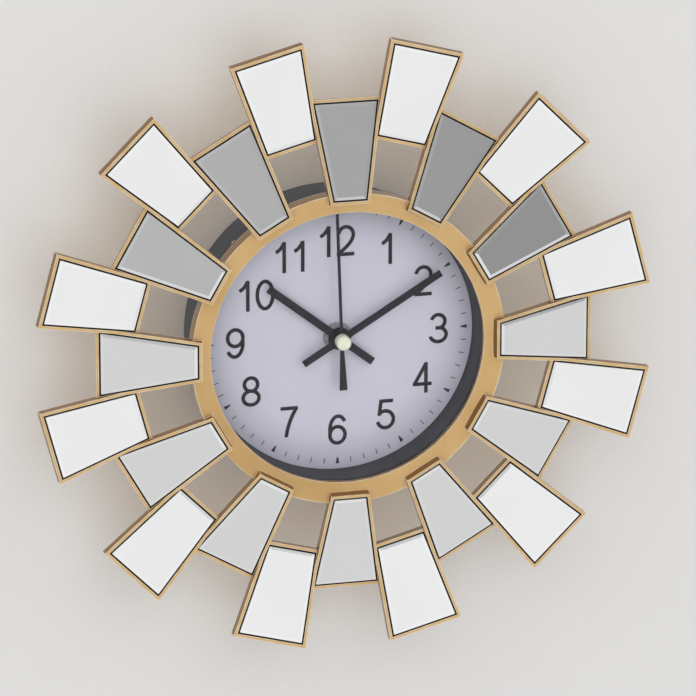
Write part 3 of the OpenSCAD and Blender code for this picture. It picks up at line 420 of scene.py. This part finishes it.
battery_jacket = finish("battery_jacket", (40, 46, 54), (52, 58, 66), (0.22, 0.34), grain=0.3, mottle=10,
                        relief=0.004, Coat_Weight=0.5)
jacket_tree = battery_jacket.node_tree
band_start = 12.9 * MM
band_end = 13.1 * MM
jacket_x = put(jacket_tree, "ShaderNodeSeparateXYZ", {0: place_in(jacket_tree)}).outputs["X"]
overlaid(battery_jacket, spread(jacket_tree, jacket_x, band_start, band_end), (186, 120, 74))
print("finishes", len(finishes))

# %% [markdown]
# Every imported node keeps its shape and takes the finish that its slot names.
# The slots come from the record, so a finish that is missing here would stop the lesson at once.

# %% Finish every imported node
finishes["mirror_glass"] = mirror_face
slot_of = {}
for name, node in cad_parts.items():
    slot_of[name] = node.material_slots[0].material.name
    node.material_slots[0].material = finishes[slot_of[name]]
print("nodes finished", len(slot_of), "in", len(set(slot_of.values())), "slots")

# %% [markdown]
# A imported node has knife-sharp edges, and real edges never are: moulds, presses and grinders leave a radius.
# The Bevel shader node could fake it, but real geometry also shows in the outline and in the mesh itself.
# So a copy is welded, its flat faces are joined, and a Bevel modifier rounds each edge by a stated width.

# %% Ease the edges of a copy
weld = 0.002 * MM
flat_turn = math.radians(0.4)


def welded(name):
    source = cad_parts[name].data
    copy = bmesh.new()
    corners = [copy.verts.new(vertex.co) for vertex in source.vertices]
    for polygon in source.polygons:
        copy.faces.new([corners[index] for index in polygon.vertices])
    bmesh.ops.remove_doubles(copy, verts=copy.verts, dist=weld)
    bmesh.ops.dissolve_degenerate(copy, edges=copy.edges, dist=weld)
    bmesh.ops.dissolve_limit(copy, angle_limit=flat_turn, verts=copy.verts, edges=copy.edges)
    return copy


def plain_mesh(thing):
    seen = thing.evaluated_get(bpy.context.evaluated_depsgraph_get())
    mesh = bpy.data.meshes.new_from_object(seen)
    thing.modifiers.clear()
    thing.data = mesh
    return thing


def eased(name, width, body="clock_body", steps=2, angle=30, reground=None):
    copy = welded(name)
    if reground:
        reground(copy)
    mesh = bpy.data.meshes.new(name + "_eased")
    copy.to_mesh(mesh)
    copy.free()
    mesh.shade_smooth()
    mesh.set_sharp_from_angle(angle=math.radians(angle))
    mesh.materials.append(finishes[slot_of[name]])
    piece = bpy.data.objects.new(name + "_eased", mesh)
    bpy.context.collection.objects.link(piece)
    rounding = piece.modifiers.new("rounding", "BEVEL")
    rounding.width = width * MM
    rounding.segments = steps
    rounding.limit_method = "ANGLE"
    rounding.angle_limit = math.radians(angle)
    rounding.harden_normals = True
    plain_mesh(piece)
    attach(piece, body)
    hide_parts(name)
    return piece


case_pieces = [
    eased("sunburst_frame", 0.25),
    eased("dial_housing", 0.3),
    eased("lens", 0.3),
    eased("movement_front_case", 0.25),
    eased("movement_rear_cover", 0.25),
    eased("setting_knob", 0.2, body="setting_knob_set"),
    eased("hanger_plate", 0.04),
    eased("hanger_screws", 0.1),
    eased("frame_screws", 0.1),
    eased("nut_washer", 0.08),
    eased("movement_nut", 0.15),
]
for piece in case_pieces:
    if piece.name in ("hanger_screws_eased", "frame_screws_eased"):
        piece.data.materials[0] = screw_steel
    print("eased", piece.name, len(piece.data.polygons), "faces in", piece.data.materials[0].name)

# %% [markdown]
# The hands are stamped from thin sheet and enamelled, so their edges roll over by about 0.1 mm.
# Each rides on its own turning body, so that the train's motion carries it.

# %% The hands and the cap
hand_pieces = [
    eased("hour_hand", 0.12, body="hour_hand_set"),
    eased("minute_hand", 0.12, body="minute_hand_set"),
    eased("second_hand", 0.08, body="second_hand_set"),
    eased("second_hand_cap", 0.2, body="second_hand_set"),
]
for piece in hand_pieces:
    print("eased", piece.name, len(piece.data.polygons), "faces")

# %% [markdown]
# The battery's jacket stops short of its ends, where the steel of the can shows, with the small positive pip.
# One mesh with two finishes is enough: a face that looks along the battery's axis is bare steel.

# %% The battery
end_facing = 0.6
pip_start = 24.6 * MM
battery = eased("battery", 0.25)
battery.data.materials.append(finishes["zinc_steel"])
for polygon in battery.data.polygons:
    bare = abs(polygon.normal.x) > end_facing or polygon.center.x > pip_start
    polygon.material_index = 1 if bare else 0
bare_faces = [polygon for polygon in battery.data.polygons if polygon.material_index]
print("battery faces", len(battery.data.polygons), "bare", len(bare_faces))

# %% [markdown]
# There are twenty-four mirror tiles, in two rows that lean like a dome and a dish.
# Each keeps its own object, because each real tile is a separate piece of glass that can be taken out.
# A polishing wheel leaves a slope of about five degrees, which shows nearly the same view as the flat glass.
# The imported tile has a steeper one, which would mirror the ceiling, so the slope's low edge is raised first.
# The way a face looks, against the tile's own front, tells flat glass from slope, edge and back.

# %% Mirror tiles
row_count = 12
slope_drop = 0.1 * MM
slope_limit = 1.5 * MM
flat_facing = 0.998
slope_facing = 0.5
back_facing = -0.6


def shallow_slope(copy):
    copy.normal_update()
    front = max((face for face in copy.faces if face.normal.y < -0.5), key=lambda face: face.calc_area())
    out = front.normal.copy()
    level = out.dot(front.verts[0].co)
    for vertex in copy.verts:
        depth = level - out.dot(vertex.co)
        if slope_drop < depth < slope_limit:
            vertex.co += out * (depth - slope_drop)
    copy.normal_update()


def mirror_tile(name):
    tile = eased(name, 0.05, steps=1, angle=2, reground=shallow_slope)
    tile.data.materials.clear()
    for material in tile_finishes:
        tile.data.materials.append(material)
    front = max((p for p in tile.data.polygons if p.normal.y < 0), key=lambda p: p.area).normal.copy()
    for polygon in tile.data.polygons:
        square = polygon.normal.dot(front)
        polygon.material_index = sum(square <= limit for limit in (flat_facing, slope_facing, back_facing))
    return tile


tiles = {}
for row in ("inner", "outer"):
    for count in range(1, row_count + 1):
        tiles[row, count] = mirror_tile(f"{row}_mirror_{count:02d}")
print("tiles", len(tiles), "with", len(tiles["inner", 1].data.polygons), "faces each")

# %% [markdown]
# Each tile has a dark bead round it in its tray, a dark piece that stands in for the shade in the gap and
# shows as a fine line between glass and gold.
# A bead is drawn once, round the first tile of a row, and Geometry Nodes set twelve of it about the axis.
# The tree has named inputs, and its result is made a plain mesh, because a file of parts holds no instances.

# %% A tree that repeats a piece about the dial
def shape_tree(name, inputs):
    tree = bpy.data.node_groups.new(name, "GeometryNodeTree")
    for label, kind in [("Geometry", "NodeSocketGeometry")] + inputs + [("Finish", "NodeSocketMaterial")]:
        tree.interface.new_socket(label, in_out="INPUT", socket_type=kind)
    tree.interface.new_socket("Geometry", in_out="OUTPUT", socket_type="NodeSocketGeometry")
    return tree, put(tree, "NodeGroupInput").outputs


def close_tree(tree, given, geometry):
    whole = put(tree, "GeometryNodeRealizeInstances", {0: geometry}).outputs[0]
    dressed = put(tree, "GeometryNodeSetMaterial", {"Geometry": whole, "Material": given["Finish"]})
    put(tree, "NodeGroupOutput", {0: dressed.outputs[0]})


def grown(name, tree, values, points=(), edges=(), faces=()):
    mesh = bpy.data.meshes.new(name)
    mesh.from_pydata(points, edges, faces)
    piece = bpy.data.objects.new(name, mesh)
    bpy.context.collection.objects.link(piece)
    grower = piece.modifiers.new("grower", "NODES")
    grower.node_group = tree
    for socket in tree.interface.items_tree:
        if socket.in_out == "INPUT" and socket.name in values:
            grower[socket.identifier] = values[socket.name]
    return plain_mesh(piece)


around_the_dial, given = shape_tree("around_the_dial", [("Count", "NodeSocketInt")])
stacked = {"Count": given["Count"], "Offset": (0, 0, 0)}
stations = put(around_the_dial, "GeometryNodeMeshLine", stacked).outputs[0]
index = put(around_the_dial, "GeometryNodeInputIndex").outputs[0]
share = number(around_the_dial, "DIVIDE", index, given["Count"])
angle = number(around_the_dial, "MULTIPLY", share, 2 * math.pi)
spin = put(around_the_dial, "ShaderNodeCombineXYZ", {"Z": angle}).outputs[0]
copies = {"Points": stations, "Instance": given["Geometry"], "Rotation": spin}
close_tree(around_the_dial, given, put(around_the_dial, "GeometryNodeInstanceOnPoints", copies).outputs[0])
print("tree", around_the_dial.name, len(around_the_dial.nodes), "nodes")

# %% [markdown]
# A bead has to follow the tile's four edges and turn its corners without thinning.
# Its section is drawn once, low beside the glass and climbing the tray's wall, and set at each corner.
# At a corner the section is stretched along the mitre, the line that halves the turn.

# %% Dark beads for the shade in the gaps
bead_lift = 0.01
bead_section = [(0.03, 0.0), (0.03, 1.62), (0.22, 1.58), (0.45, 1.66), (0.66, 2.08), (0.66, 0.0)]


def bead_of(row):
    copy = welded(f"{row}_mirror_01")
    copy.transform(on_wall.inverted())
    copy.normal_update()
    back = max((face for face in copy.faces if face.normal.z < -0.5), key=lambda face: face.calc_area())
    out = -back.normal
    corners = [vertex.co.copy() for vertex in back.verts]
    copy.free()
    points = []
    for place, corner in enumerate(corners):
        before = (corner - corners[place - 1]).normalized()
        after = (corners[(place + 1) % len(corners)] - corner).normalized()
        square = out.cross(before)
        next_square = out.cross(after)
        mitre = (square + next_square) / (1 + square.dot(next_square))
        for reach, height in bead_section:
            points.append(corner + (mitre * reach + out * (height + bead_lift)) * MM)
    faces = []
    sides = len(bead_section)
    for here in range(0, len(points), sides):
        there = (here + sides) % len(points)
        for step in range(sides):
            along = (step + 1) % sides
            faces.append((here + step, here + along, there + along, there + step))
    return points, faces


# Painted shade: a near-black bead fills each gap and climbs the tray's wall, where the gap lies in shade.
gap_shade_bead = finish("gap_shade_bead", (18, 14, 10), (32, 25, 18), (0.45, 0.7), grain=0.4, mottle=3,
                      relief=0.03)
bead_values = {"Count": row_count, "Finish": gap_shade_bead}
for row in ("inner", "outer"):
    points, faces = bead_of(row)
    beads = grown(f"{row}_tile_beads", around_the_dial, bead_values, points, (), faces)
    beads.data.transform(on_wall)
    outward = bmesh.new()
    outward.from_mesh(beads.data)
    bmesh.ops.recalc_face_normals(outward, faces=outward.faces)
    outward.to_mesh(beads.data)
    outward.free()
    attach(beads, "clock_body")
    print("beads", beads.name, len(beads.data.polygons), "faces")

# %% [markdown]
# The numbers are plain upright strokes of even weight, printed in one ink.
# A text object could draw them, but the letters at hand are of another kind, so each has its centre line.
# A digit is a list of strokes in a box from 0 to 1, and Geometry Nodes give each line its width.

# %% A tree that prints strokes
printed_strokes, given = shape_tree(
    "printed_strokes",
    [("Width", "NodeSocketFloat"), ("Ink", "NodeSocketFloat")],
)
lines = put(printed_strokes, "GeometryNodeMeshToCurve", {0: given["Geometry"]}).outputs[0]
level = put(printed_strokes, "GeometryNodeSetCurveNormal", {0: lines}, mode="Z_UP").outputs[0]
nib_sizes = {"Width": given["Width"], "Height": given["Ink"]}
nib = put(printed_strokes, "GeometryNodeCurvePrimitiveQuadrilateral", nib_sizes).outputs[0]
swept = {"Curve": level, "Profile Curve": nib, "Fill Caps": True}
ribbons = put(printed_strokes, "GeometryNodeCurveToMesh", swept).outputs[0]
crossing = {1: ribbons, "Self Intersection": True}
joined = put(printed_strokes, "GeometryNodeMeshBoolean", crossing, operation="UNION", solver="EXACT")
close_tree(printed_strokes, given, joined.outputs[0])
print("tree", printed_strokes.name, len(printed_strokes.nodes), "nodes")

# %% [markdown]
# A round digit is built of parts of ellipses, and a slanting one has gentle curves of three points.
# Nine is six turned half round, as in most plain faces, so it needs no drawing of its own.
# A stroke runs a little past a corner, so that its square end closes the joint.

# %% The digits as centre lines
bend_step = 6


def bend(across, up, wide, high, start, end):
    steps = max(6, round(abs(end - start) / bend_step))
    turns = [math.radians(start + (end - start) * step / steps) for step in range(steps + 1)]
    return [(across + wide * math.cos(turn), up + high * math.sin(turn)) for turn in turns]


def curve(first, middle, last):
    parts = [step / 12 for step in range(13)]
    return [
        tuple((1 - t) ** 2 * a + 2 * t * (1 - t) * b + t * t * c for a, b, c in zip(first, middle, last))
        for t in parts
    ]


six = [
    bend(0.5, 0.305, 0.47, 0.305, 0, 360),
    bend(0.54, 0.5, 0.51, 0.5, 192, 36),
]
digits = {
    "0": [bend(0.5, 0.5, 0.48, 0.5, 0, 360)],
    "1": [[(0.62, -0.07), (0.62, 1.07)], curve((0.10, 0.70), (0.44, 0.78), (0.62, 1.05))],
    "2": [
        bend(0.5, 0.71, 0.46, 0.29, 172, -28) + curve((0.906, 0.574), (0.78, 0.36), (0.03, 0.02))[1:],
        [(-0.08, 0.0), (1.02, 0.0)],
    ],
    "3": [
        bend(0.47, 0.75, 0.42, 0.25, 165, -82),
        bend(0.47, 0.262, 0.5, 0.262, 84, -168),
        [(0.30, 0.512), (0.54, 0.512)],
    ],
    "4": [[(0.72, -0.07), (0.72, 1.07)], [(0.72, 1.02), (0.0, 0.265)], [(-0.10, 0.265), (1.08, 0.265)]],
    "5": [
        [(0.14, 1.0), (0.96, 1.0)],
        [(0.22, 1.05), (0.09, 0.46)],
        bend(0.48, 0.315, 0.5, 0.315, 146, -165),
    ],
    "6": six,
    "7": [[(-0.02, 1.0), (1.06, 1.0)], curve((0.98, 1.0), (0.46, 0.52), (0.33, -0.07))],
    "8": [bend(0.5, 0.755, 0.41, 0.245, 0, 360), bend(0.5, 0.258, 0.49, 0.258, 0, 360)],
    "9": [[(1 - across, 1 - up) for across, up in stroke] for stroke in six],
}
print("digits", len(digits), "strokes", sum(len(strokes) for strokes in digits.values()))

# %% [markdown]
# The numbers stand upright all round the dial, and each leans with its outer side on one circle.
# So a wide number such as ten stands nearer the centre than three, which is narrow, and the ring looks even.
# Two digits of one number stand closer than two numbers would, and eleven, of two slim strokes, closer still.
# The ink is a film of a few hundredths of a millimetre, which is enough to keep it clear of the card.

# %% Print the numbers
digit_high = 11.15
digit_wide = 6.55
digit_step = 0.12 * digit_wide + 7.0
slim_step = 7.5
number_edge = 45.3
pen_wide = 1.5
pen_reach = 0.8
ink_film = 0.06
ink_lift = 0.02 * MM
on_dial = on_wall @ Matrix.Translation((0, 0, dial_front + ink_lift)) @ Matrix.Scale(MM, 4)


def drawn_lines(strokes):
    points = []
    edges = []
    for stroke in strokes:
        closed = math.dist(stroke[0], stroke[-1]) < 1e-6
        first = len(points)
        kept = stroke[:-1] if closed else stroke
        points.extend((across, up, 0.0) for across, up in kept)
        edges.extend((first + step, first + step + 1) for step in range(len(kept) - 1))
        if closed:
            edges.append((first + len(kept) - 1, first))
    return points, edges


number_strokes = []
for hour in range(1, 13):
    placed = []
    shift = 0.0
    for digit in str(hour):
        for stroke in digits[digit]:
            placed.append([(shift + across * digit_wide, up * digit_high) for across, up in stroke])
        shift = slim_step if hour == 11 else digit_step
    ends = [across for stroke in placed for across, up in stroke]
    middle = (min(ends) + max(ends)) / 2
    swing = math.radians(30 * hour)
    half_wide = (max(ends) - min(ends)) / 2 + pen_reach
    half_high = digit_high / 2 + pen_reach
    reach = number_edge - math.hypot(half_wide * math.sin(swing), half_high * math.cos(swing))
    left = reach * math.sin(swing) - middle
    foot = reach * math.cos(swing) - digit_high / 2
    for stroke in placed:
        number_strokes.append([(left + across, foot + up) for across, up in stroke])
points, edges = drawn_lines(number_strokes)
number_values = {"Width": pen_wide, "Ink": ink_film, "Finish": dial_ink}
numbers = grown("dial_numbers", printed_strokes, number_values, points, edges)
numbers.data.transform(on_dial)
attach(numbers, "clock_body")
print("numbers", len(numbers.data.polygons), "faces")

# %% [markdown]
# The minute track is a ring of fine ticks, with a bolder wedge at each hour that is widest at its outer end.
# Sixty marks by hand would be sixty chances to slip, so one tree sets marks at sixty stations about the axis.
# Every fifth station is an hour, and an input tells whether the tree marks hours or the minutes between.

# %% Minute track
ring_of_marks, given = shape_tree(
    "ring_of_marks",
    [("Stations", "NodeSocketInt"), ("Radius", "NodeSocketFloat"), ("Hours", "NodeSocketFloat")],
)
circle = {"Vertices": given["Stations"], "Radius": given["Radius"]}
spots = put(ring_of_marks, "GeometryNodeMeshCircle", circle).outputs[0]
index = put(ring_of_marks, "GeometryNodeInputIndex").outputs[0]
at_hour = number(ring_of_marks, "LESS_THAN", number(ring_of_marks, "MODULO", index, 5.0), 0.5)
kept = number(ring_of_marks, "COMPARE", at_hour, given["Hours"], 0.5)
outward = put(ring_of_marks, "GeometryNodeInputPosition").outputs[0]
aimed = put(ring_of_marks, "FunctionNodeAlignRotationToVector", {"Vector": outward}, axis="Y", pivot_axis="Z")
copies = {"Points": spots, "Selection": kept, "Instance": given["Geometry"], "Rotation": aimed.outputs[0]}
close_tree(ring_of_marks, given, put(ring_of_marks, "GeometryNodeInstanceOnPoints", copies).outputs[0])


def flat_mark(inner, outer, length):
    ends = ((-inner, -length), (inner, -length), (outer, length), (-outer, length))
    corners = [(across / 2, along / 2, side * ink_film / 2) for side in (-1, 1) for across, along in ends]
    sides = [(0, 1, 5, 4), (1, 2, 6, 5), (2, 3, 7, 6), (3, 0, 4, 7)]
    return corners, [(3, 2, 1, 0), (4, 5, 6, 7)] + sides


marks = [
    ("minute_marks", flat_mark(0.42, 0.42, 2.2), 51.9, 0.0, track_ink),
    ("hour_marks", flat_mark(0.5, 1.5, 2.6), 51.7, 1.0, dial_ink),
]
for name, (corners, faces), radius, hours, ink in marks:
    values = {"Stations": 60, "Radius": radius, "Hours": hours, "Finish": ink}
    ring = grown(name, ring_of_marks, values, corners, (), faces)
    ring.data.transform(on_dial)
    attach(ring, "clock_body")
    print("marks", name, len(ring.data.polygons), "faces")

# %% [markdown]
# On the back, signs tell the owner which way the knob sets the hands and how the battery lies.
# They are printed on the rear cover in pale ink, because a raised sign of black plastic is hard to read.
# The tree that printed the numbers draws them too, on a page that faces the wall.

# %% Printed signs on the rear cover
sign_ink = finish("sign_ink", (206, 205, 200), (220, 219, 214), (0.5, 0.65), grain=0.15, mottle=3)
cover_low, cover_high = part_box("movement_rear_cover")
knob_low, knob_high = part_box("setting_knob")
cell_low, cell_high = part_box("battery")
on_cover = Matrix.Translation((0, cover_high.y, axis_height)) @ Matrix.Rotation(math.pi, 4, "Z")
on_cover = on_cover @ stood_up @ Matrix.Scale(MM, 4)
knob_x = -(knob_low.x + knob_high.x) / 2 / MM
knob_y = ((knob_low.z + knob_high.z) / 2 - axis_height) / MM
sign_arm = 1.6
sign_inset = 5
sign_rise = 3.4
sweep_r = 6.4
sign_y = (cover_low.z - axis_height) / MM + sign_rise
plus_x = -cell_high.x / MM + sign_inset
minus_x = -cell_low.x / MM - sign_inset
sweep = bend(knob_x, knob_y, sweep_r, sweep_r, 35, 145)
tip_x, tip_y = sweep[-1]
signs = [
    sweep,
    [(tip_x + 2.1, tip_y + 0.5), (tip_x, tip_y), (tip_x + 0.4, tip_y + 2.1)],
    [(plus_x - sign_arm, sign_y), (plus_x + sign_arm, sign_y)],
    [(plus_x, sign_y - sign_arm), (plus_x, sign_y + sign_arm)],
    [(minus_x - sign_arm, sign_y), (minus_x + sign_arm, sign_y)],
]
points, edges = drawn_lines(signs)
sign_values = {"Width": 0.6, "Ink": 0.12, "Finish": sign_ink}
cover_signs = grown("cover_signs", printed_strokes, sign_values, points, edges)
cover_signs.data.transform(on_cover)
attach(cover_signs, "clock_body")
print("signs", len(cover_signs.data.polygons), "faces, knob at", round(knob_x, 1), round(knob_y, 1))

# %% [markdown]
# The clock hangs on a pale wall above a pale floor. Both belong to the stage, not to the clock.
# Their backs are see-through, so that a camera behind the wall still sees the movement and the hanger.
# They are kept out of the mirrors, which have a studio of their own, painted on the world below.

# %% Wall and floor
def stage_sheet(name, tone, corners):
    sheet = bpy.data.meshes.new(name)
    sheet.from_pydata(corners, [], [(0, 1, 2, 3)])
    piece = bpy.data.objects.new(name, sheet)
    bpy.context.collection.objects.link(piece)
    lighter = [value + 4 for value in tone]
    material = finish(name, tone, lighter, (0.7, 0.85), grain=1.2, mottle=120, relief=0.05)
    back = put(material.node_tree, "ShaderNodeNewGeometry").outputs["Backfacing"]
    let_through(material.node_tree, back, (1.0, 1.0, 1.0, 1.0))
    sheet.materials.append(material)
    piece.visible_glossy = False
    piece.visible_diffuse = False
    piece.visible_shadow = False
    return piece


wall_y = 0.6 * MM
wall_top = 3
floor_z = -1.2
floor_near = -4
stage_half = 3
skirting = [(-stage_half, wall_y, floor_z), (stage_half, wall_y, floor_z)]
top_edge = [(stage_half, wall_y, wall_top), (-stage_half, wall_y, wall_top)]
near_edge = [(-stage_half, floor_near, floor_z), (stage_half, floor_near, floor_z)]
wall = stage_sheet("wall", (226, 225, 224), skirting + top_edge)
floor = stage_sheet("floor", (222, 221, 220), near_edge + skirting[::-1])
print("stage", wall.name, floor.name)

# %% [markdown]
# A mirror shows the room, so the room is part of the look. From this camera, the flat tiles look down and
# to the right, where a white card stands on a pale table. The upper inner tiles look over it at a grey wall.
# The room is painted on the world by direction, which is soft, has no noise and lights the clock as well.

# %% Studio on the world
world = bpy.data.worlds.new("studio")
bpy.context.scene.world = world
world.use_nodes = True
room = world.node_tree
look = put(room, "ShaderNodeTexCoord").outputs["Generated"]
ways = put(room, "ShaderNodeSeparateXYZ", {0: look}).outputs
seen_flat = Vector((-standpoint.x, standpoint.y, -standpoint.z))
toward = vector(room, "DOT_PRODUCT", look, seen_flat)["Value"]


def soft_step(*limits):
    return spread(room, *limits, interpolation_type="SMOOTHSTEP")


def parted(mask, under, over):
    return put(room, "ShaderNodeMix", {0: mask, 2: under, 3: over}).outputs[0]


table = 0.72
white_card = 0.93
room_behind = 0.75
grey_wall = number(room, "MULTIPLY_ADD", ways["X"], -0.29, 0.49)
ceiling = soft_step(ways["Z"], 0.25, 0.7, 0.0, 0.6)
window = soft_step(ways["X"], 0.62, 0.85, 0.0, 0.6)
above = number(room, "ADD", number(room, "ADD", grey_wall, ceiling), window)
over_table = soft_step(ways["Z"], -0.165, -0.135)
ahead = parted(over_table, table, above)
card = soft_step(toward, math.cos(math.radians(17)), math.cos(math.radians(9)))
with_card = parted(card, ahead, white_card)
behind = soft_step(ways["Y"], -0.15, 0.15)
whole_room = parted(behind, with_card, room_behind)
shade = put(room, "ShaderNodeCombineColor", {0: whole_room, 1: whole_room, 2: whole_room}).outputs[0]
room.links.new(shade, room.nodes["Background"].inputs["Color"])
print("flat tiles look along", [round(v, 3) for v in seen_flat])

# %% [markdown]
# One large lamp before the clock, a little above it, lights the deep dial and lays a soft shadow on the wall.
# It stays out of the mirrors, which would show it as a hard white square.
# Its power is set so that, with the room's own light, a colour shows about as it is written.

# %% Key lamp
key = bpy.data.objects.new("key", bpy.data.lights.new("key", "AREA"))
key.data.energy = 18
key.data.size = 2.4
key.location = (-0.1, -2.4, 0.5)
key.rotation_euler = (target - key.location).to_track_quat("-Z", "Y").to_euler()
key.visible_glossy = False
bpy.context.collection.objects.link(key)
bpy.context.scene.view_settings.view_transform = "Standard"
print("key lamp", key.data.energy, "W at", [round(v, 2) for v in key.location])
